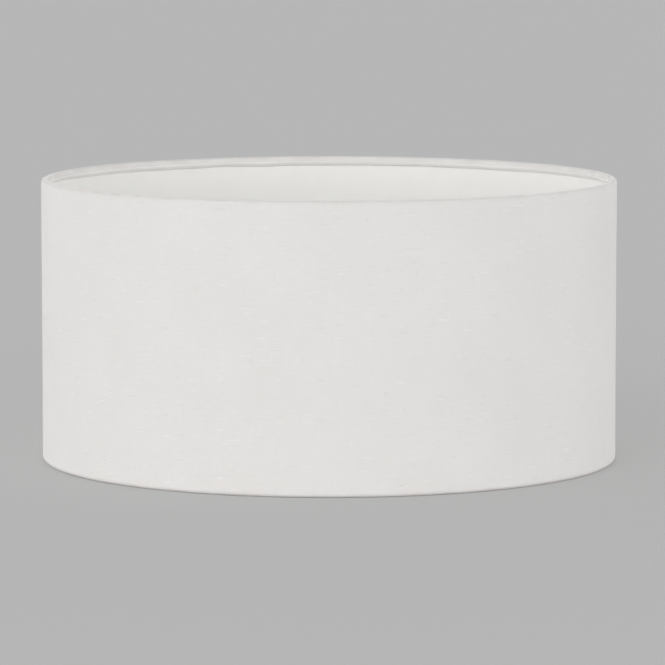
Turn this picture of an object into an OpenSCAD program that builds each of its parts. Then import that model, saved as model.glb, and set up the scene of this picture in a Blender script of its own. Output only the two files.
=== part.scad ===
// Round fabric drum lamp shade with rolled edges and a three-arm fitter in its bottom ring.
// Millimetres, +Z up. The origin is the centre of the bottom rim, in the plane the shade stands on.
// The lap of the fabric and its panel runs up the left side, at -X. One arm points to the back, +Y.

/* [Shade] */
// Outer diameter of the fabric wall
shade_d = 420; // [300:5:500]
// Overall height, rim to rim
shade_h = 206; // [150:1:260]

/* [Sheets] */
// Thickness of the woven cover
fabric_t = 0.5; // [0.4:0.05:0.6]
// Thickness of the plastic backing panel
panel_t = 0.35; // [0.3:0.05:0.4]
// Width of the lap where the two ends of the wall meet
lap_w = 12; // [8:1:20]

/* [Wires] */
// Diameter of the wire in both rims
rim_wire_d = 4; // [3:0.5:5]
// Diameter of the arm wire
arm_wire_d = 3.5; // [3:0.5:4]

/* [Fitter] */
// Height of the fitter plate's underside above the bottom rim
fitter_z = 22; // [18:1:36]
// Hole in the fitter plate, for a wide lampholder
fitter_hole_d = 42; // [40:0.5:44]
// Outer diameter of the fitter plate
fitter_d = 58; // [54:1:66]
// Thickness of the fitter plate
fitter_t = 1.5; // [1:0.1:2]

/* [Reducer] */
// Hole in the reducer, for a narrow lampholder
reducer_hole_d = 29; // [27:0.5:30]
// Diameter of the reducer's flange
reducer_flange_d = 50; // [47:1:53]
// Depth of the reducer's spigot below its flange
spigot_depth = 4; // [3:0.5:6]
// Number of ribs between the spigot and the collar
rib_count = 6; // [3:1:8]

/* [Hidden] */
$fn = 96;

// Line left between two pieces that are glued, welded or wrapped together
bond = 0.05;
tape_t = 0.15;

// Radii of the wall's two sheets, and how far the under end of a lap is set in
wall_r = shade_d / 2;
fabric_inner_r = wall_r - fabric_t;
panel_inner_r = fabric_inner_r - bond - panel_t;
lap_step = fabric_t + bond + panel_t + tape_t;

// Roll of fabric round a rim wire: it passes outside the panel, over the wire and its tape,
// hangs a little past the wire on the inside and is tucked in between the wire and the panel
wire_r = rim_wire_d / 2;
roll_in = wire_r + tape_t + bond;
roll_out = roll_in + fabric_t;
roll_shift = panel_t + bond;
roll_drop = 0.9;
// Both rolls are pressed flat by this much, where the shade stands on one
land_t = 0.05;
// Centre line of the wire in a rim, from the axis and in from the rim
rim_r = wall_r - roll_shift - roll_out;
rim_inset = roll_out - land_t;

// Lap, in lengths along the wall from the seam: the outer end stops at lap_from, and a little
// before it the wall steps in and runs on beneath as the under end, as far as lap_to
seam_angle = 180;
lap_from = -lap_w / 2;
lap_to = lap_w / 2;
slit_w = 0.4;
tape_margin = 1;
// The laps stop just short of both rolls
lap_inset = rim_inset + roll_drop + roll_out + 1;

// Arms: out of the rim wire, up a ramp, then level under the fitter plate
arm_angles = [90, 210, 330];
arm_r = arm_wire_d / 2;
arm_low_z = rim_inset;
arm_high_z = fitter_z - bond - arm_r;
arm_slope = 40;
arm_bend_r = 6;
arm_foot_x = rim_r - 14;
arm_tip_x = fitter_hole_d / 2 + 1.5;
bend_x = arm_bend_r * sin(arm_slope);
bend_z = arm_bend_r * (1 - cos(arm_slope));
ramp_l = (arm_high_z - arm_low_z - 2 * bend_z) / sin(arm_slope);
arm_level_x = arm_foot_x - 2 * bend_x - ramp_l * cos(arm_slope);
rim_weld_r = 2.3;
fitter_weld_r = 2.4;
notch_gap = 0.3;

// Reducer: a flange on the plate, a spigot in its hole and a collar round the lampholder
reducer_z = fitter_z + fitter_t;
reducer_t = 1.6;
spigot_gap = 0.1;
spigot_r = fitter_hole_d / 2 - spigot_gap;
spigot_wall = 1.6;
rib_t = 1.2;

// The angle that a length spans along the wall.
function wall_deg(length) = length / wall_r * 180 / PI;

// A quarter of the fabric's ring round a point of the roll's section, turned into one quadrant.
module quarter_ring(x, z, turn) {
    translate([x, z]) rotate(turn) intersection() {
        difference() {
            circle(r = roll_out);
            circle(r = roll_in);
        }
        square(roll_out + 1);
    }
}

// Section of the fabric round the bottom wire, in x and z.
module roll_section() {
    hang_z = rim_inset + roll_drop;
    difference() {
        union() {
            quarter_ring(rim_r + roll_shift, rim_inset, 270);
            translate([rim_r, -land_t]) square([roll_shift, fabric_t]);
            quarter_ring(rim_r, rim_inset, 180);
            translate([rim_r - roll_out, rim_inset]) square([fabric_t, roll_drop]);
            quarter_ring(rim_r, hang_z, 90);
            intersection() {
                quarter_ring(rim_r, hang_z, 0);
                translate([rim_r, hang_z]) square([panel_inner_r - bond - rim_r, roll_out]);
            }
        }
        translate([rim_r - roll_out, -1]) square([2 * roll_out + roll_shift, 1]);
    }
}

// A band of the wall at one radius, between two lengths along the wall from the seam, which
// stops short of both rims.
module wall_band(r, t, from, to, inset) {
    rotate([0, 0, seam_angle + wall_deg(from)]) rotate_extrude(angle = wall_deg(to - from))
        translate([r, inset]) square([t, shade_h - 2 * inset]);
}

// Makes a closed wall into one lapped sheet: a slit, a step inwards and the under end.
module lapped(r, t, slit) {
    under_r = r - lap_step;
    slit_from = lap_from - slit;
    difference() {
        union() {
            children();
            wall_band(under_r, t, slit_from - t - bond, lap_to, lap_inset);
            wall_band(under_r + t / 2, lap_step, slit_from - t, lap_from - slit / 2, lap_inset);
        }
        wall_band(under_r + t + bond / 2, lap_step + 1, slit_from, lap_from, lap_inset - slit_w);
    }
}

// Lifts a ring made round the bottom wire to the top rim, turned over.
module at_top() {
    translate([0, 0, shade_h]) mirror([0, 0, 1]) children();
}

// Turns a piece drawn towards +X to one arm's direction.
module along_arm(i) {
    rotate([0, 0, arm_angles[i]]) children();
}

// Room in the roll and its tape where each arm leaves the bottom wire.
module arm_notches() {
    for (i = [0:2]) along_arm(i)
        translate([rim_r - roll_out - 1, 0, arm_low_z]) rotate([0, 90, 0])
            cylinder(r = rim_weld_r + notch_gap, h = roll_out);
}

// The rim wire, or the space round it.
module rim_torus(r) {
    translate([0, 0, rim_inset]) rotate_extrude() translate([rim_r, 0]) circle(r = r);
}

// Double-sided tape round a rim wire, open towards the middle of the shade.
module ring_tape() {
    translate([0, 0, rim_inset]) rotate_extrude() translate([rim_r, 0]) difference() {
        circle(r = wire_r + tape_t);
        circle(r = wire_r + bond / 2);
        translate([-2 * wire_r, -wire_r]) square([1.75 * wire_r, 2 * wire_r]);
    }
}

// A stretch of arm wire in the x-z plane, sloping down by an angle from level.
module arm_wire(x, z, slope, length) {
    translate([x, 0, z]) rotate([0, 90 + slope, 0]) cylinder(r = arm_r, h = length);
    translate([x, 0, z]) sphere(r = arm_r + bond / 2);
    translate([x + length * cos(slope), 0, z - length * sin(slope)]) sphere(r = arm_r + bond / 2);
}

// A bend of arm wire in the x-z plane, about a point, over the arm's slope.
module arm_bend(x, z, from) {
    translate([x, 0, z]) rotate([90, 0, 0]) rotate([0, 0, from]) rotate_extrude(angle = arm_slope)
        translate([arm_bend_r, 0]) circle(r = arm_r);
}

// One arm towards +X, with its weld beads, fitted to the rim wire and under the plate.
module arm() {
    rim_face_x = rim_r - wire_r;
    difference() {
        union() {
            arm_bend(arm_foot_x, arm_low_z + arm_bend_r, 270 - arm_slope);
            arm_bend(arm_level_x, arm_high_z - arm_bend_r, 90 - arm_slope);
            arm_wire(arm_level_x + bend_x, arm_high_z - bend_z, arm_slope, ramp_l);
            arm_wire(arm_foot_x, arm_low_z, 0, rim_face_x - arm_foot_x);
            arm_wire(arm_tip_x + arm_r, arm_high_z, 0, arm_level_x - arm_tip_x - arm_r);
            translate([rim_face_x - 0.8, 0, arm_low_z]) sphere(r = rim_weld_r);
            translate([fitter_d / 2 - 1.5 * fitter_weld_r, 0, arm_high_z + 0.4]) sphere(r = fitter_weld_r);
        }
        rim_torus(wire_r + bond);
        translate([0, -fitter_d / 2, fitter_z - bond]) cube([fitter_d, fitter_d, fitter_t]);
    }
}

module fabric_cover() {
    color("whitesmoke") difference() {
        lapped(fabric_inner_r, fabric_t, slit_w) rotate_extrude() {
            translate([fabric_inner_r, rim_inset]) square([fabric_t, shade_h - 2 * rim_inset]);
            roll_section();
            translate([0, shade_h]) mirror([0, 1]) roll_section();
        }
        arm_notches();
    }
}

module backing_panel() {
    color("white") lapped(panel_inner_r, panel_t, slit_w + fabric_t + 2 * bond) rotate_extrude()
        translate([panel_inner_r, rim_inset]) square([panel_t, shade_h - 2 * rim_inset]);
}

module seam_tape() {
    color("ivory") wall_band(panel_inner_r - tape_t + bond / 2, tape_t - bond,
                             lap_from + tape_margin, lap_to - tape_margin, lap_inset);
}

module bottom_ring() {
    color("gainsboro") rim_torus(wire_r);
}

module top_ring() {
    color("gainsboro") at_top() rim_torus(wire_r);
}

module bottom_ring_tape() {
    color("ivory") difference() {
        ring_tape();
        arm_notches();
    }
}

module top_ring_tape() {
    color("ivory") at_top() ring_tape();
}

module arm_1() {
    color("white") along_arm(0) arm();
}

module arm_2() {
    color("white") along_arm(1) arm();
}

module arm_3() {
    color("white") along_arm(2) arm();
}

module fitter_ring() {
    color("white") translate([0, 0, fitter_z]) difference() {
        rotate_extrude() {
            square([(fitter_d - fitter_t) / 2, fitter_t]);
            translate([(fitter_d - fitter_t) / 2, fitter_t / 2]) circle(d = fitter_t);
        }
        translate([0, 0, -1]) cylinder(d = fitter_hole_d, h = fitter_t + 2);
    }
}

module reducer_ring() {
    rib_l = spigot_r - spigot_wall / 2 - reducer_hole_d / 2;
    color("white") translate([0, 0, reducer_z]) difference() {
        union() {
            rotate_extrude() {
                square([(reducer_flange_d - reducer_t) / 2, reducer_t]);
                translate([(reducer_flange_d - reducer_t) / 2, reducer_t / 2]) circle(d = reducer_t);
                translate([spigot_r - spigot_wall, -spigot_depth]) square([spigot_wall, spigot_depth]);
                translate([0, -spigot_depth]) square([reducer_hole_d / 2 + spigot_wall, spigot_depth]);
            }
            for (i = [0:rib_count - 1]) rotate([0, 0, 360 * i / rib_count])
                translate([reducer_hole_d / 2, -rib_t / 2, 1 - spigot_depth]) cube([rib_l, rib_t, spigot_depth]);
        }
        translate([0, 0, -spigot_depth - 1]) cylinder(d = reducer_hole_d, h = spigot_depth + reducer_t + 2);
    }
}

fabric_cover();
backing_panel();
seam_tape();
top_ring();
top_ring_tape();
bottom_ring();
bottom_ring_tape();
arm_1();
arm_2();
arm_3();
fitter_ring();
reducer_ring();
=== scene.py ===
import math

import bmesh
import bpy
import numpy as np
from mathutils import Matrix, Vector


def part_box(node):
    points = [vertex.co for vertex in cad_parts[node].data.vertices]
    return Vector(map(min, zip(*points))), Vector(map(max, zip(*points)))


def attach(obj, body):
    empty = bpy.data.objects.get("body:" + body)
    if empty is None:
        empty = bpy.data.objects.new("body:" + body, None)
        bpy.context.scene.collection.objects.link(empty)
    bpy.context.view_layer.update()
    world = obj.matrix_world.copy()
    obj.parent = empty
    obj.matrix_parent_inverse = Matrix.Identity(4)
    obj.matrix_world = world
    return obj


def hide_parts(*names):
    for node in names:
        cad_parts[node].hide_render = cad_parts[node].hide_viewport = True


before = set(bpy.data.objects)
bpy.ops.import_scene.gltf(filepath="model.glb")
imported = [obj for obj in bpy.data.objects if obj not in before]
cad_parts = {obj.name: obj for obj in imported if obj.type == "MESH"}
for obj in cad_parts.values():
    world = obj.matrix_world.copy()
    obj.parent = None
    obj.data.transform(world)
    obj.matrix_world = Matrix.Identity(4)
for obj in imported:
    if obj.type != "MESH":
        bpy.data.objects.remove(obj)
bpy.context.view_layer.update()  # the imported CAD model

# The drum lamp shade's looks: its woven cover, its lining, its wires and its fitter.
# Metres, +Z up. The front is at -Y, and the lap of the cover and the lining is at -X.

MM = 0.001
TAU = 2 * math.pi

# ---------------------------------------------------------------- sizes, read from the frame


def corners(node):
    """A node's lowest and highest corners, rounded to 0.05 mm, which takes out the facets."""
    step = 0.05 * MM
    return [Vector(round(v / step) * step for v in corner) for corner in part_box(node)]


COVER_LOW, COVER_HIGH = corners("fabric_cover")
RING_LOW, RING_HIGH = corners("bottom_ring")
PLATE_LOW, PLATE_HIGH = corners("fitter_ring")
PANEL_R = corners("backing_panel")[1].x

BOND = 0.05 * MM
PANEL_T = 0.35 * MM
TAPE_T = 0.15 * MM
LAP = 12 * MM
HEM = 9.6 * MM  # the cloth folded under at the lap's outer end

WALL_R = COVER_HIGH.x
HEIGHT = COVER_HIGH.z
FABRIC_T = WALL_R - PANEL_R - BOND
LINING_R = PANEL_R - PANEL_T
WIRE_R = (RING_HIGH.z - RING_LOW.z) / 2
RIM_R = RING_HIGH.x - WIRE_R
RIM_Z = (RING_HIGH.z + RING_LOW.z) / 2

# The roll of cloth round a rim wire: its radius, how far it hangs past the wire on the
# inside, how far round it goes there before it leaves for the lining, and how far out the
# wall's side of it lies to clear the lining.
ROLL_R = WIRE_R + TAPE_T + BOND + FABRIC_T
ROLL_DROP = 0.1 * MM
ROLL_LEAVE = 56
ROLL_SHIFT = PANEL_T + BOND

ARM_ANGLES = [90, 210, 330]
ARM_R = 1.75 * MM
ARM_SLOPE = math.radians(40)
ARM_BEND_R = 6 * MM
SEAM_ANGLE = 180


def smoothstep(low, high, x):
    """0 below low, 1 above high, and a smooth rise between them."""
    t = np.clip((np.asarray(x, float) - low) / (high - low), 0, 1)
    return t * t * (3 - 2 * t)


def wander(x, length, step, seed):
    """Smooth noise from -1 to 1 along x, with a new value every step, periodic over length."""
    count = max(4, round(length / step))
    values = np.random.default_rng(seed).uniform(-1, 1, count)
    place = (np.asarray(x, float) / length * count) % count
    i = np.floor(place).astype(int)
    t = place - i
    t = t * t * (3 - 2 * t)
    return values[i % count] * (1 - t) + values[(i + 1) % count] * t


# ---------------------------------------------------------------- materials


class Shader:
    """Builds one Principled material with short calls."""

    def __init__(self, name, roughness):
        self.material = bpy.data.materials.new(name)
        self.material.use_nodes = True
        self.tree = self.material.node_tree
        self.bsdf = self.tree.nodes["Principled BSDF"]
        self.bsdf.inputs["Roughness"].default_value = roughness

    def add(self, kind, **settings):
        """A new node; a setting names a property of the node or, failing that, an input."""
        node = self.tree.nodes.new("ShaderNode" + kind)
        for key, value in settings.items():
            if hasattr(node, key):
                setattr(node, key, value)
            else:
                self.feed(node, key.replace("_", " "), value)
        return node

    def feed(self, node, socket, value):
        """Links a node's output, or sets a number or a colour, on one of node's inputs."""
        target = node.inputs[socket]
        if isinstance(value, bpy.types.NodeSocket):
            self.tree.links.new(value, target)
        else:
            target.default_value = value

    def math(self, operation, a, b=0.0, c=0.0):
        """A Math node's result; each operand is a number or another node's output."""
        node = self.add("Math", operation=operation)
        for i, value in enumerate((a, b, c)):
            self.feed(node, i, value)
        return node.outputs[0]

    def scaled(self, vector, x, y, z=1.0):
        """A vector with its axes multiplied."""
        node = self.add("VectorMath", operation="MULTIPLY")
        self.feed(node, 0, vector)
        self.feed(node, 1, (x, y, z))
        return node.outputs[0]

    def noise(self, vector, scale, detail=2.0):
        return self.add("TexNoise", Vector=vector, Scale=scale, Detail=detail).outputs[0]

    def ramp(self, value, low, high, to_low=0.0, to_high=1.0):
        """A smooth rise from to_low to to_high as value goes from low to high."""
        node = self.add("MapRange", interpolation_type="SMOOTHSTEP")
        names = ("Value", "From Min", "From Max", "To Min", "To Max")
        for socket, setting in zip(names, (value, low, high, to_low, to_high)):
            self.feed(node, socket, setting)
        return node.outputs[0]

    def mix(self, factor, a, b):
        """Colour a where factor is 0, and b where it is 1."""
        node = self.add("Mix", data_type="RGBA")
        for socket, value in ((0, factor), (6, a), (7, b)):
            self.feed(node, socket, value)
        return node.outputs[2]

    def set(self, **values):
        """Sets or links inputs of the Principled shader."""
        for key, value in values.items():
            self.feed(self.bsdf, key.replace("_", " "), value)

    def bump(self, height, distance, strength):
        node = self.add("Bump", Height=height, Distance=distance, Strength=strength)
        return node.outputs[0]


def cloth_material():
    """Off-white plain weave: warp and weft threads of uneven width, with slubs both ways."""
    s = Shader("off_white_linen", 0.85)
    mapped = s.add("Attribute", attribute_name="cloth").outputs["Vector"]
    axes = s.add("SeparateXYZ", Vector=mapped)
    along, across, rim_grime_and_painted_light = axes.outputs[:3]
    cloth = s.scaled(mapped, 1, 1, 0)

    # Threads wander by a fraction of their pitch, so no two crossings are alike.
    drift = s.noise(cloth, 90.0, detail=1.0)
    pitch = 0.62 * MM
    wave = []
    for place in (along, across):
        count = s.math("MULTIPLY_ADD", drift, 1.6, s.math("DIVIDE", place, pitch))
        wave.append(s.math("SINE", s.math("MULTIPLY", count, math.pi)))
    ridges = s.math("POWER", s.math("ABSOLUTE", s.math("MULTIPLY", wave[0], wave[1])), 0.5)

    # Slubs: long thin swellings along single threads, in the weft and fewer in the warp.
    weft = s.noise(s.scaled(cloth, 95, 740), 1.0, detail=1.5)
    warp = s.noise(s.scaled(cloth, 800, 105), 1.0, detail=1.5)
    long_weft = s.noise(s.scaled(cloth, 48, 1050), 1.0, detail=1.5)
    thick = s.math("MAXIMUM", s.ramp(weft, 0.64, 0.76), s.ramp(warp, 0.66, 0.8, 0.0, 0.8))
    thick = s.math("MAXIMUM", thick, s.ramp(long_weft, 0.69, 0.78))
    thin = s.math("MAXIMUM", s.ramp(weft, 0.35, 0.24), s.ramp(warp, 0.33, 0.22, 0.0, 0.8))
    # Whole threads differ a little in tone along their length.
    weft_tone = s.noise(s.scaled(cloth, 22, 1500), 1.0)
    warp_tone = s.noise(s.scaled(cloth, 1500, 22), 1.0)
    streaks = s.math("ADD", weft_tone, warp_tone)

    cloud = s.noise(cloth, 16.0, detail=3.0)
    base = s.mix(s.ramp(cloud, 0.3, 0.7), (0.839, 0.819, 0.804, 1), (0.854, 0.836, 0.822, 1))
    base = s.mix(s.ramp(streaks, 0.7, 1.3, 0.0, 0.10), base, (0.70, 0.68, 0.65, 1))
    base = s.mix(s.math("MULTIPLY", thick, 0.6), base, (0.95, 0.94, 0.92, 1))
    base = s.mix(s.math("MULTIPLY", thin, 0.30), base, (0.66, 0.64, 0.60, 1))
    # The gaps between the threads are painted darker: painted shade.
    base = s.mix(s.ramp(ridges, 0.0, 0.5, 0.12, 0.0), base, (0.60, 0.58, 0.54, 1))
    # The rolled rims are greyer on their crowns and inner sides, and not evenly so: partly grime from
    # glue and hands, partly painted shade where the crown faces up. The part tucked under them is
    # painted lighter, a painted light standing in for the light the cloth lets through.
    grime_and_painted_shade = s.math("MAXIMUM", rim_grime_and_painted_light, 0.0)
    painted_through_light = s.math("MAXIMUM", s.math("MULTIPLY", rim_grime_and_painted_light, -1.0), 0.0)
    grime_and_shade_amount = s.math("MULTIPLY", grime_and_painted_shade, s.ramp(s.noise(cloth, 45.0, detail=3.0), 0.3, 0.7, 0.24, 0.44))
    colour = s.mix(grime_and_shade_amount, base, (0.60, 0.58, 0.565, 1))
    # Painted light: the tucked cloth is made lighter in place of light coming through the fabric.
    colour = s.mix(s.math("MULTIPLY", painted_through_light, 0.92), colour, (0.98, 0.97, 0.955, 1))

    height = s.math("ADD", ridges, s.math("MULTIPLY", s.math("SUBTRACT", thick, thin), 1.6))
    s.set(Base_Color=colour, Normal=s.bump(height, 0.09 * MM, 0.6))
    s.set(Roughness=s.ramp(thick, 0.0, 1.0, 0.88, 0.72))
    s.set(Sheen_Weight=0.3, Sheen_Roughness=0.35, Sheen_Tint=(1, 0.985, 0.96, 1))
    s.set(Specular_IOR_Level=0.25)
    return s.material


def lining_material():
    """Smooth satin white plastic sheet with a faint mottle from its laminating adhesive."""
    s = Shader("lining_plastic", 0.42)
    place = s.add("TexCoord").outputs["Object"]
    mottle = s.noise(place, 60.0, detail=4.0)
    fine = s.noise(place, 900.0)
    colour = s.mix(s.ramp(mottle, 0.3, 0.7), (0.853, 0.848, 0.829, 1), (0.868, 0.863, 0.845, 1))
    s.set(Base_Color=colour, Roughness=s.ramp(mottle, 0.3, 0.7, 0.4, 0.5))
    s.set(Normal=s.bump(s.math("ADD", mottle, s.math("MULTIPLY", fine, 0.06)), 0.25 * MM, 0.4))
    s.set(Specular_IOR_Level=0.4)
    return s.material


def coated_metal_material():
    """White powder coat: a fine orange peel, with the coat a little thin and grey in places."""
    s = Shader("white_powder_coat", 0.38)
    place = s.add("TexCoord").outputs["Object"]
    peel = s.noise(place, 1400.0, detail=2.0)
    dust = s.noise(place, 120.0, detail=4.0)
    thin = s.ramp(s.noise(place, 420.0, detail=3.0), 0.70, 0.78)
    colour = s.mix(s.ramp(dust, 0.35, 0.75), (0.82, 0.815, 0.80, 1), (0.76, 0.755, 0.735, 1))
    colour = s.mix(s.math("MULTIPLY", thin, 0.35), colour, (0.5, 0.49, 0.47, 1))
    s.set(Base_Color=colour, Roughness=s.ramp(dust, 0.3, 0.7, 0.32, 0.46))
    s.set(Normal=s.bump(peel, 0.05 * MM, 0.5), Coat_Weight=0.15, Coat_Roughness=0.3)
    return s.material


def moulded_plastic_material():
    """Satin white moulded plastic with faint flow lines and a finely textured skin."""
    s = Shader("moulded_plastic", 0.4)
    place = s.add("TexCoord").outputs["Object"]
    flow = s.noise(s.scaled(place, 1, 1, 5), 70.0, detail=3.0)
    grain = s.noise(place, 2600.0, detail=1.0)
    colour = s.mix(s.ramp(flow, 0.3, 0.7), (0.80, 0.80, 0.785, 1), (0.85, 0.85, 0.835, 1))
    s.set(Base_Color=colour, Roughness=s.ramp(flow, 0.3, 0.7, 0.34, 0.46))
    s.set(Normal=s.bump(grain, 0.02 * MM, 0.5), Subsurface_Weight=0.05)
    return s.material


def tape_material():
    """Ivory double-sided tape, slightly cloudy."""
    s = Shader("double_sided_tape", 0.5)
    cloud = s.noise(s.add("TexCoord").outputs["Object"], 260.0, detail=3.0)
    s.set(Base_Color=s.mix(cloud, (0.80, 0.76, 0.64, 1), (0.87, 0.84, 0.74, 1)))
    s.set(Normal=s.bump(cloud, 0.04 * MM, 0.4))
    return s.material


CLOTH = cloth_material()
LINING = lining_material()
COATED_METAL = coated_metal_material()
MOULDED_PLASTIC = moulded_plastic_material()
TAPE = tape_material()

# ---------------------------------------------------------------- mesh helpers


def make_piece(name, vertices, faces, material, cloth=None):
    """A smooth-shaded mesh object. cloth holds each vertex's place on its flat sheet, and how much
    grime and painted shade it gets there, or below nought how much painted light it gets where it is
    tucked away."""
    mesh = bpy.data.meshes.new(name)
    mesh.from_pydata([tuple(v) for v in vertices], [], [tuple(f) for f in faces])
    mesh.materials.append(material)
    mesh.shade_smooth()
    if cloth is not None:
        layer = mesh.attributes.new("cloth", "FLOAT_VECTOR", "POINT")
        layer.data.foreach_set("vector", np.asarray(cloth, np.float32).ravel())
    mesh.update()
    piece = bpy.data.objects.new(name, mesh)
    bpy.context.scene.collection.objects.link(piece)
    return piece


def stand_for(piece, node):
    """Puts a piece in a CAD node's place on the shade."""
    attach(piece, "shade")
    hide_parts(node)


def sheet_faces(present):
    """Faces of a closed sheet over a grid of cells, some of them cut out.

    present[i, j] says whether cell (i, j) is there. The outer skin's vertices come first, then
    the inner skin's in the same order, and every edge of the sheet is closed between them."""
    columns, rows = present.shape[0] + 1, present.shape[1] + 1
    skin = columns * rows

    def at(i, j):
        return i * rows + j

    faces = []
    for i, j in zip(*np.nonzero(present)):
        a, b, c, d = at(i, j), at(i + 1, j), at(i + 1, j + 1), at(i, j + 1)
        faces.append((a, b, c, d))
        faces.append((skin + d, skin + c, skin + b, skin + a))
        beyond = ((i, j - 1, a, b), (i + 1, j, b, c), (i, j + 1, c, d), (i - 1, j, d, a))
        for k, m, start, end in beyond:
            inside = 0 <= k < columns - 1 and 0 <= m < rows - 1
            if not (inside and present[k, m]):
                faces.append((end, start, skin + start, skin + end))
    return faces


# ---------------------------------------------------------------- the wall's shape

ROUND = TAU * WALL_R  # once round the wall
OVER_END = -LAP / 2  # where the outer end of the lap stops, from the seam
# In the lap the outer layers stand proud of the wall and the under layers lie inside it.
OVER_SHIFT = 0.52 * MM
UNDER_SHIFT = 0.53 * MM


def angle_at(s):
    """The direction from the axis at a length s along the wall, from the lap's outer end."""
    return math.radians(SEAM_ANGLE) + (OVER_END + np.asarray(s, float)) / WALL_R


def wall_wave(s, z):
    """The slight unevenness of the stiff wall, none at the rims."""
    low = wander(s, ROUND, 160 * MM, 11) * 0.14 * MM
    middle = wander(s + 0.35 * z, ROUND, 70 * MM, 12) * 0.05 * MM
    small = wander(s - 0.6 * z, ROUND, 34 * MM, 13) * 0.02 * MM
    inset = smoothstep(4 * MM, 45 * MM, z) * smoothstep(4 * MM, 45 * MM, HEIGHT - z)
    return (low + middle + small) * inset


def on_wall(radius, s, z):
    """Points at a radius from the axis, a length along the wall and a height."""
    a = angle_at(s)
    return np.stack([radius * np.cos(a), radius * np.sin(a), z], -1).reshape(-1, 3)


def over_shift(s):
    return OVER_SHIFT * (1 - smoothstep(LAP + 2 * MM, LAP + 30 * MM, s))


def under_shift(s):
    return -UNDER_SHIFT * smoothstep(ROUND - 26 * MM, ROUND - 0.8 * MM, s)


# ---------------------------------------------------------------- cover


def arc_points(r, z, start, end, count):
    """Points and outward normals on the roll's circle round (r, z), between two angles."""
    a = np.radians(np.linspace(start, end, count))
    normals = np.stack([np.cos(a), np.sin(a)], 1)
    return np.array([r, z]) + ROLL_R * normals, normals


def cover_section():
    """The cloth's outer side from one raw edge to the other: points and normals in (r, z).

    It is made for the bottom rim and the wall, and the top rim is the bottom one mirrored."""
    tuck = arc_points(RIM_R, RIM_Z + ROLL_DROP, 180 - ROLL_LEAVE, 180, 8)
    # Past the roll the stiff cloth runs straight on, till its raw edge meets the lining.
    leave = math.radians(ROLL_LEAVE)
    run = (LINING_R - BOND - tuck[0][0, 0]) / math.sin(leave)
    along = np.linspace(run, 0, 6)[:5, None] * [math.sin(leave), math.cos(leave)]
    straight = tuck[0][0] + along, np.repeat(tuck[1][:1], 5, 0)
    inner = arc_points(RIM_R, RIM_Z, 180, 270, 8)
    outer = arc_points(RIM_R + ROLL_SHIFT, RIM_Z, 270, 360, 8)
    rim, rim_normals = (np.vstack(part) for part in zip(straight, tuck, inner, outer))
    top = np.flipud(rim) * [1, -1] + [0, HEIGHT]
    top_normals = np.flipud(rim_normals) * [1, -1]
    near = np.array([1.2, 2.8, 5, 8, 12]) * MM
    middle = np.linspace(RIM_Z + 18 * MM, HEIGHT - RIM_Z - 18 * MM, 23)
    levels = np.concatenate([RIM_Z + near, middle, HEIGHT - RIM_Z - near[::-1]])
    wall = np.stack([np.full_like(levels, WALL_R), levels], 1)
    outward = np.tile([1.0, 0.0], (len(levels), 1))
    return np.vstack([rim, wall, top]), np.vstack([rim_normals, outward, top_normals])


ARM_COLUMN = 1.2 * MM  # how far from an arm the cover's nearest columns are


def cover_columns(arms):
    """Places along the wall where the mesh has a column, closer together where detail is."""
    regular = np.arange(14 * MM, ROUND - 6 * MM, 2.7 * MM)
    start = np.array([0, 0.1, 0.25, 0.45, 0.75, 1.2, 2.4]) * MM
    hem = HEM + np.array([-1, 0, 2]) * MM
    end = ROUND + np.array([-3.6, -1.8, -0.6, 0.2, 2.4, 9.6, 12]) * MM
    places = np.concatenate([start, hem, regular, end])
    for arm in arms:
        places = places[np.abs(places - arm) > 3 * MM]
        places = np.append(places, arm + np.array([-3.4 * MM, -ARM_COLUMN, ARM_COLUMN, 3.4 * MM]))
    return np.sort(places)


def cut_keyholes(arms, points, s, v, place):
    """Moves two columns of the cover at each arm, and says which cells are left.

    Each arm's wire comes out through a keyhole: a round hole, and a cut up to the raw edge."""
    wire_row = int(np.argmin(np.hypot(*(points[:60] - [RIM_R - ROLL_R, RIM_Z]).T)))
    hole = ARM_R + 0.6 * MM
    from_wire = v - v[wire_row]
    half = np.sqrt(np.maximum(hole**2 - from_wire**2, 0))
    half = np.where(from_wire < 0, np.maximum(half, 0.3 * MM), np.maximum(half, 0.6 * MM))
    half = np.where(from_wire > hole + 2 * MM, ARM_COLUMN, half)
    last = int(np.nonzero(from_wire >= hole * 0.97)[0][0])
    present = np.ones((len(s) - 1, len(v) - 1), bool)
    for arm in arms:
        left = int(np.argmin(np.abs(s - (arm - ARM_COLUMN))))
        place[left] = arm - half
        place[left + 1] = arm + half
        present[left, :last] = False
    return present


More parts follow.
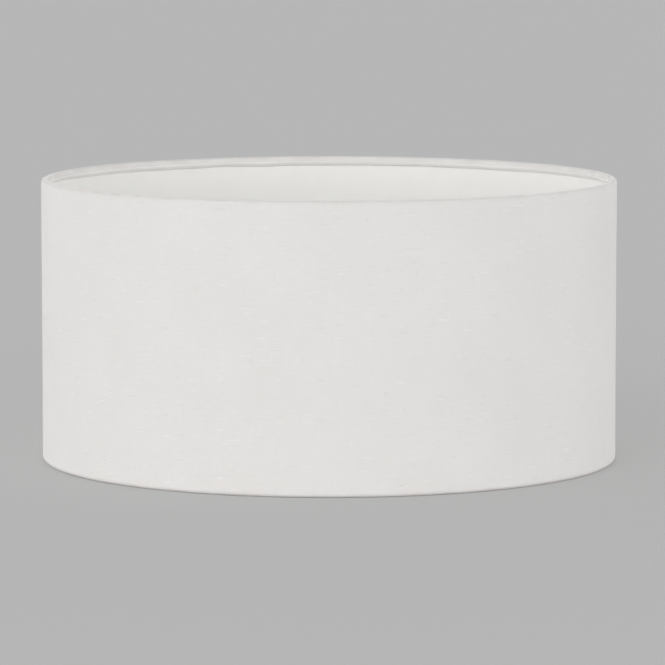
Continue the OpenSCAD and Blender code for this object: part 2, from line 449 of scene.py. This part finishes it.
def make_cover():
    points, normals = cover_section()
    steps = np.hypot(*np.diff(points, axis=0).T)
    v = np.concatenate([[0], np.cumsum(steps)])
    arms = [(math.radians(a - SEAM_ANGLE) * WALL_R - OVER_END) % ROUND for a in ARM_ANGLES]
    s = cover_columns(arms)
    columns, rows = len(s), len(v)
    place = np.repeat(s[:, None], rows, 1)
    present = cut_keyholes(arms, points, s, v, place)

    r, z = (np.repeat(points[:, k][None], columns, 0) for k in (0, 1))
    nr, nz = (np.repeat(normals[:, k][None], columns, 0) for k in (0, 1))
    height = np.minimum(z, HEIGHT - z)
    rolled = 1 - smoothstep(2 * MM, 12 * MM, height) * (nr > 0.99)
    tucked = smoothstep(0.3, -0.6, nr)

    # Layers: the lap's outer end stands proud with a folded hem, and the under end lies inside.
    shift = over_shift(place) + under_shift(place) * (1 - rolled)
    hem = (1 - smoothstep(HEM - 1 * MM, HEM, place)) * (1 - rolled)
    thick = FABRIC_T * (1 + hem)
    bull = np.clip(1 - place / (0.5 * MM), 0, 1)
    ease = thick / 2 * (1 - np.sqrt(1 - bull**2)) * 0.98
    # Cloth that is wrapped round a wire has less room on the inside: it puckers there, and it
    # isn't tucked in equally deep all the way round.
    pucker = 0.16 * MM * (1 + wander(place + 0.5 * z, ROUND, 8 * MM, 21))
    pucker += 0.08 * MM * (1 + wander(place, ROUND, 22 * MM, 22))
    relief = 0.03 * MM * wander(place + 0.4 * z, ROUND, 13 * MM, 23)
    relief += 0.06 * MM * wander(place, ROUND, 47 * MM, 24)
    from_edge = np.minimum(v, v[-1] - v)
    shift = shift + tucked * smoothstep(0, 2.5 * MM, from_edge) * pucker + rolled * relief
    depth_change = 0.3 * MM * wander(place, ROUND, 27 * MM, 25)
    depth_change += 0.15 * MM * wander(place, ROUND, 9 * MM, 26)
    inward = np.sign(HEIGHT / 2 - z)
    sink = inward * depth_change * smoothstep(0, 0.6, inward * nz) * (r < WALL_R - FABRIC_T)

    wave = wall_wave(place, z)
    skins = []
    for depth in (ease, thick - ease):
        out = shift - depth
        radius = r + nr * out + wave
        level = z + nz * out + sink
        # Pressed flat where the shade stands, one layer on the other in the lap.
        squeezed = smoothstep(ROUND - 5 * MM, ROUND - 1 * MM, place)
        floor = FABRIC_T / 2 * squeezed + (depth > FABRIC_T / 2) * FABRIC_T / 2
        floor = np.where(depth > FABRIC_T / 2, np.where(place < LAP, 0.5, 1.0) * FABRIC_T, floor)
        level = np.clip(level, floor, HEIGHT - floor)
        # The raw edge is pushed in against the lining.
        edge = (r > RIM_R) & (inward * nz > 0) & (height > RIM_Z)
        radius = np.where(edge, np.minimum(radius, LINING_R - BOND), radius)
        skins.append(on_wall(radius, place, level))
    # Above nought where the cloth is painted greyer, most on the crown of a roll and its inner side:
    # grime from hands and glue, and painted shade. Below nought for cloth tucked under a roll, which
    # is painted lighter as painted light.
    crown = smoothstep(0.2, 0.8, -inward * nz)
    under = smoothstep(0, 0.5, inward * nz)
    inner = smoothstep(0.1, -0.6, nr) * (1 - under)
    near_rim = 1 - smoothstep(1 * MM, 4 * MM, height) * (nr > 0.99)
    rim_grime_and_painted_light = near_rim * (0.35 + 0.65 * crown + 0.6 * inner) - 1.35 * under
    cloth = np.stack([place, np.repeat(v[None], columns, 0), rim_grime_and_painted_light], -1).reshape(-1, 3)
    cloth = np.vstack([cloth, cloth])
    piece = make_piece("linen_cover", np.vstack(skins), sheet_faces(present), CLOTH, cloth)
    stand_for(piece, "fabric_cover")
    return piece, (float(v[-1]), ROUND + LAP + HEM)


# ---------------------------------------------------------------- lining


def make_lining():
    """The plastic sheet behind the cloth. Its under end is cut back, clear of both rolls."""
    start = HEM + 0.3 * MM
    tail = ROUND + np.array([-3, -1, 3, 7, 12]) * MM
    s = np.concatenate([[start], np.linspace(start + 3 * MM, ROUND - 7 * MM, 420), tail])
    t = np.concatenate([[0, 0.012, 0.03], np.linspace(0.06, 0.94, 21), [0.97, 0.988, 1]])
    place = np.repeat(s[:, None], len(t), 1)
    inset = RIM_Z + 5.4 * MM * smoothstep(ROUND - 3.5 * MM, ROUND - 1 * MM, place)
    z = inset + (HEIGHT - 2 * inset) * t[None]
    rolled = 1 - smoothstep(2 * MM, 12 * MM, np.minimum(z, HEIGHT - z))
    shift = over_shift(place) * (1 - rolled) + under_shift(place) + wall_wave(place, z)
    skins = [on_wall(PANEL_R + shift - depth, place, z) for depth in (0, PANEL_T)]
    present = np.ones((len(s) - 1, len(t) - 1), bool)
    piece = make_piece("lining_sheet", np.vstack(skins), sheet_faces(present), LINING)
    stand_for(piece, "backing_panel")
    return piece


def make_seam_tape():
    """The tape between the two layers of the lap."""
    s = ROUND + np.linspace(1, 11, 9) * MM
    inset = RIM_Z + 6.4 * MM
    z = np.linspace(inset, HEIGHT - inset, 26)
    place, level = np.meshgrid(s, z, indexing="ij")
    outer = PANEL_R - PANEL_T + OVER_SHIFT + wall_wave(place, level)
    skins = [on_wall(outer - depth, place, level) for depth in (0.01 * MM, TAPE_T - 0.01 * MM)]
    present = np.ones((len(s) - 1, len(z) - 1), bool)
    piece = make_piece("lap_tape", np.vstack(skins), sheet_faces(present), TAPE)
    stand_for(piece, "seam_tape")


cover, cover_cut = make_cover()
lining = make_lining()

make_seam_tape()

# ---------------------------------------------------------------- arms

ARM_LOW = RIM_Z
ARM_HIGH = PLATE_LOW.z - BOND - ARM_R
ARM_FOOT = RIM_R - 14 * MM
ARM_TIP = 22.5 * MM


def bend_points(x, z, start, end):
    """Points of a bend round (x, z), between two angles."""
    a = np.radians(np.linspace(start, end, 12))
    return np.stack([x + ARM_BEND_R * np.cos(a), z + ARM_BEND_R * np.sin(a)], 1)


def arm_line():
    """An arm's centre line in (r, z), from the rim wire to its tip under the plate."""
    slope = math.degrees(ARM_SLOPE)
    rise = ARM_HIGH - ARM_LOW - 2 * ARM_BEND_R * (1 - math.cos(ARM_SLOPE))
    level_x = ARM_FOOT - 2 * ARM_BEND_R * math.sin(ARM_SLOPE) - rise / math.tan(ARM_SLOPE)
    lower = bend_points(ARM_FOOT, ARM_LOW + ARM_BEND_R, 270, 270 - slope)
    upper = bend_points(level_x, ARM_HIGH - ARM_BEND_R, 90 - slope, 90)
    level = np.linspace(level_x - 2 * MM, ARM_TIP, 60)
    level = np.stack([level, np.full(60, ARM_HIGH)], 1)
    weld = [RIM_R - WIRE_R + 0.3 * MM, ARM_LOW]
    return np.vstack([weld, lower, upper, level])


def tube(line, radius, sides=24):
    """A closed round bar along a line in (r, z), with its end edges eased."""
    step = np.gradient(line, axis=0)
    step /= np.hypot(step[:, 0], step[:, 1])[:, None]
    ends = [0.0, 0.12, 0.3]
    first = [line[0] + step[0] * e * radius for e in ends]
    last = [line[-1] - step[-1] * e * radius for e in ends[::-1]]
    line = np.vstack([first, line[1:-1], last])
    step = np.vstack([[step[0]] * 3, step[1:-1], [step[-1]] * 3])
    size = np.ones(len(line))
    size[:3] = size[:-4:-1] = (0.72, 0.92, 1.0)
    a = np.linspace(0, TAU, sides, endpoint=False)
    side = np.array([0, 1.0, 0])
    vertices = []
    for (x, z), (sx, sz), k in zip(line, step, size):
        centre = np.array([x, 0, z])
        up = np.array([-sz, 0, sx])
        vertices += [centre + k * radius * (math.cos(t) * side + math.sin(t) * up) for t in a]
    faces = [tuple(range(sides)), tuple(range(len(vertices) - 1, len(vertices) - 1 - sides, -1))]
    for i in range(len(line) - 1):
        for j in range(sides):
            k = (j + 1) % sides
            faces.append((i * sides + k, i * sides + j, (i + 1) * sides + j, (i + 1) * sides + k))
    return np.array(vertices), faces


def bead(centre, size, seed):
    """A weld bead: an uneven lump."""
    rng = np.random.default_rng(seed)
    mesh = bmesh.new()
    bmesh.ops.create_icosphere(mesh, subdivisions=3, radius=1)
    waves = rng.uniform(-3.5, 3.5, (4, 3))
    phases = rng.uniform(0, TAU, 4)
    vertices = []
    for v in mesh.verts:
        swell = 1 + 0.05 * sum(math.sin(v.co.dot(w) + p) for w, p in zip(waves, phases))
        vertices.append([c + s * k * swell for c, s, k in zip(centre, size, v.co)])
    faces = [tuple(v.index for v in f.verts) for f in mesh.faces]
    mesh.free()
    return np.array(vertices), faces


def fused(name, parts, material, voxel):
    """One smooth solid from several overlapping closed meshes."""
    vertices, faces = [], []
    for part_vertices, part_faces in parts:
        start = sum(len(v) for v in vertices)
        vertices.append(part_vertices)
        faces += [tuple(start + i for i in f) for f in part_faces]
    piece = make_piece(name, np.vstack(vertices), faces, material)
    remesh = piece.modifiers.new("fuse", "REMESH")
    remesh.mode = "VOXEL"
    remesh.voxel_size = voxel
    remesh.use_smooth_shade = True
    smooth = piece.modifiers.new("smooth", "SMOOTH")
    smooth.iterations = 6
    smooth.factor = 0.5
    return piece


def make_arm(number, angle):
    """An arm with its welds to the rim wire and to the plate."""
    line = arm_line()
    x = line[:, 0]
    bow = wander(x, 0.25, 60 * MM, 30 + number) * 0.12 * MM
    line[:, 1] += bow * smoothstep(30 * MM, 60 * MM, x) * (1 - smoothstep(150 * MM, 175 * MM, x))
    rim_weld = (RIM_R - WIRE_R - 0.7 * MM, 0, ARM_LOW)
    rim_bead = bead(rim_weld, (2.1 * MM, 2.15 * MM, 2.1 * MM), number)
    plate_weld = (PLATE_HIGH.x - 3.4 * MM, 0, ARM_HIGH + 0.3 * MM)
    plate_bead = bead(plate_weld, (3 * MM, 2.5 * MM, 2.1 * MM), 10 + number)
    # Nothing of a weld stands above the plate's underside.
    for vertices in (rim_bead[0], plate_bead[0]):
        vertices[:, 2] = np.minimum(vertices[:, 2], PLATE_LOW.z)
    parts = [tube(line, ARM_R), rim_bead, plate_bead]
    turn = Matrix.Rotation(math.radians(angle), 3, "Z")
    parts = [(vertices @ np.array(turn).T, faces) for vertices, faces in parts]
    piece = fused(f"arm_wire_{number}", parts, COATED_METAL, 0.3 * MM)
    stand_for(piece, f"arm_{number}")


for arm_number, arm_angle in enumerate(ARM_ANGLES, 1):
    make_arm(arm_number, arm_angle)

# ---------------------------------------------------------------- CAD nodes that stay

CAD_FINISH = {
    "top_ring": COATED_METAL,
    "bottom_ring": COATED_METAL,
    "top_ring_tape": TAPE,
    "bottom_ring_tape": TAPE,
    "fitter_ring": COATED_METAL,
    "reducer_ring": MOULDED_PLASTIC,
}
for node, material in CAD_FINISH.items():
    for material_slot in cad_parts[node].material_slots:
        material_slot.material = material

# The plate's punched edge and the moulding's edges are eased, as the coat and the mould leave them.
for node, ease in (("fitter_ring", 0.25 * MM), ("reducer_ring", 0.2 * MM)):
    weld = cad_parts[node].modifiers.new("weld", "WELD")
    weld.merge_threshold = 0.001 * MM
    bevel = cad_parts[node].modifiers.new("bevel", "BEVEL")
    bevel.width = ease
    bevel.segments = 2
    bevel.limit_method = "ANGLE"
    bevel.angle_limit = math.radians(50)
    bevel.harden_normals = True

# ---------------------------------------------------------------- stage, light and camera

FLOOR = 0.455  # how much of the light it gets it sends back
FLOOR_GLOW = 0.12
CEILING_LIGHT = 0.4
WALL_LIGHT = 2.0
SIDE_LIGHT = 0.08  # how much more light comes from -X than from the middle
KEY_LIGHT = 0.3
INSIDE_LIGHT = 0.055


def make_stage():
    """A wide white table, softly lit from within, just under the rim. From below it is clear."""
    size = 30
    level = -0.2 * MM
    plane = bpy.data.meshes.new("floor")
    square = [(x * size, y * size, level) for x, y in ((-1, -1), (1, -1), (1, 1), (-1, 1))]
    plane.from_pydata(square, [], [(0, 1, 2, 3)])
    s = Shader("pale_floor", 0.9)
    s.set(Base_Color=(FLOOR, FLOOR, FLOOR, 1), Specular_IOR_Level=0.0)
    s.set(Emission_Color=(1, 1, 1, 1), Emission_Strength=FLOOR_GLOW)
    from_below = s.add("NewGeometry").outputs["Backfacing"]
    clear = s.add("BsdfTransparent").outputs[0]
    blend = s.add("MixShader")
    for socket, value in enumerate((from_below, s.bsdf.outputs[0], clear)):
        s.feed(blend, socket, value)
    s.feed(s.tree.nodes["Material Output"], "Surface", blend.outputs[0])
    plane.materials.append(s.material)
    floor = bpy.data.objects.new("floor", plane)
    bpy.context.scene.collection.objects.link(floor)


def make_light():
    """A white studio: light walls all round, a dimmer ceiling, and a large soft lamp."""
    world = bpy.data.worlds.new("studio")
    world.use_nodes = True
    tree = world.node_tree
    place = tree.nodes.new("ShaderNodeTexCoord").outputs["Generated"]
    axes = tree.nodes.new("ShaderNodeSeparateXYZ")
    tree.links.new(place, axes.inputs[0])

    def step(operation, *values):
        node = tree.nodes.new("ShaderNodeMath")
        node.operation = operation
        for socket, value in zip(node.inputs, values):
            if isinstance(value, bpy.types.NodeSocket):
                tree.links.new(value, socket)
            else:
                socket.default_value = value
        return node.outputs[0]

    low = step("POWER", step("SUBTRACT", 1.0, step("ABSOLUTE", axes.outputs[2])), 2.0)
    level = step("MULTIPLY_ADD", low, WALL_LIGHT, CEILING_LIGHT)
    level = step("MULTIPLY_ADD", axes.outputs[0], -SIDE_LIGHT, level)
    tree.links.new(level, tree.nodes["Background"].inputs["Strength"])
    tree.nodes["Background"].inputs["Color"].default_value = (1, 1, 1, 1)
    bpy.context.scene.world = world

    key = bpy.data.lights.new("key", "SUN")
    key.energy = KEY_LIGHT
    key.angle = math.radians(40)
    lamp = bpy.data.objects.new("key", key)
    lamp.rotation_euler = Vector((0.25, 0.9, -0.4)).to_track_quat("-Z", "Y").to_euler()
    bpy.context.scene.collection.objects.link(lamp)

    # What the thin wall lets through into the shade.
    fill = bpy.data.lights.new("inside_fill", "AREA")
    fill.shape = "DISK"
    fill.size = 0.3
    fill.energy = INSIDE_LIGHT
    glow = bpy.data.objects.new("inside_fill", fill)
    glow.location = (0, 0, 30 * MM)
    glow.rotation_euler = (math.pi, 0, 0)
    glow.visible_camera = False
    glow.visible_glossy = False
    bpy.context.scene.collection.objects.link(glow)


def make_camera():
    """A long lens from the front and a little above, aimed just past the middle of the shade."""
    elevation = math.radians(6.21)
    pitch = math.radians(6.392)
    yaw = math.radians(0.037)
    distance = 16.66 * WALL_R
    middle = Vector((0, 0, HEIGHT / 2))
    data = bpy.data.cameras.new("camera")
    data.sensor_width = 36
    data.lens = 258.1
    data.clip_start = 0.05
    data.clip_end = 100
    camera = bpy.data.objects.new("camera", data)
    camera.location = middle + distance * Vector((0, -math.cos(elevation), math.sin(elevation)))
    aim = Vector((math.sin(yaw) * math.cos(pitch), math.cos(yaw) * math.cos(pitch), -math.sin(pitch)))
    camera.rotation_euler = aim.to_track_quat("-Z", "Y").to_euler()
    bpy.context.scene.collection.objects.link(camera)
    bpy.context.scene.camera = camera


make_stage()
make_light()
make_camera()
bpy.context.scene.view_settings.view_transform = "Standard"
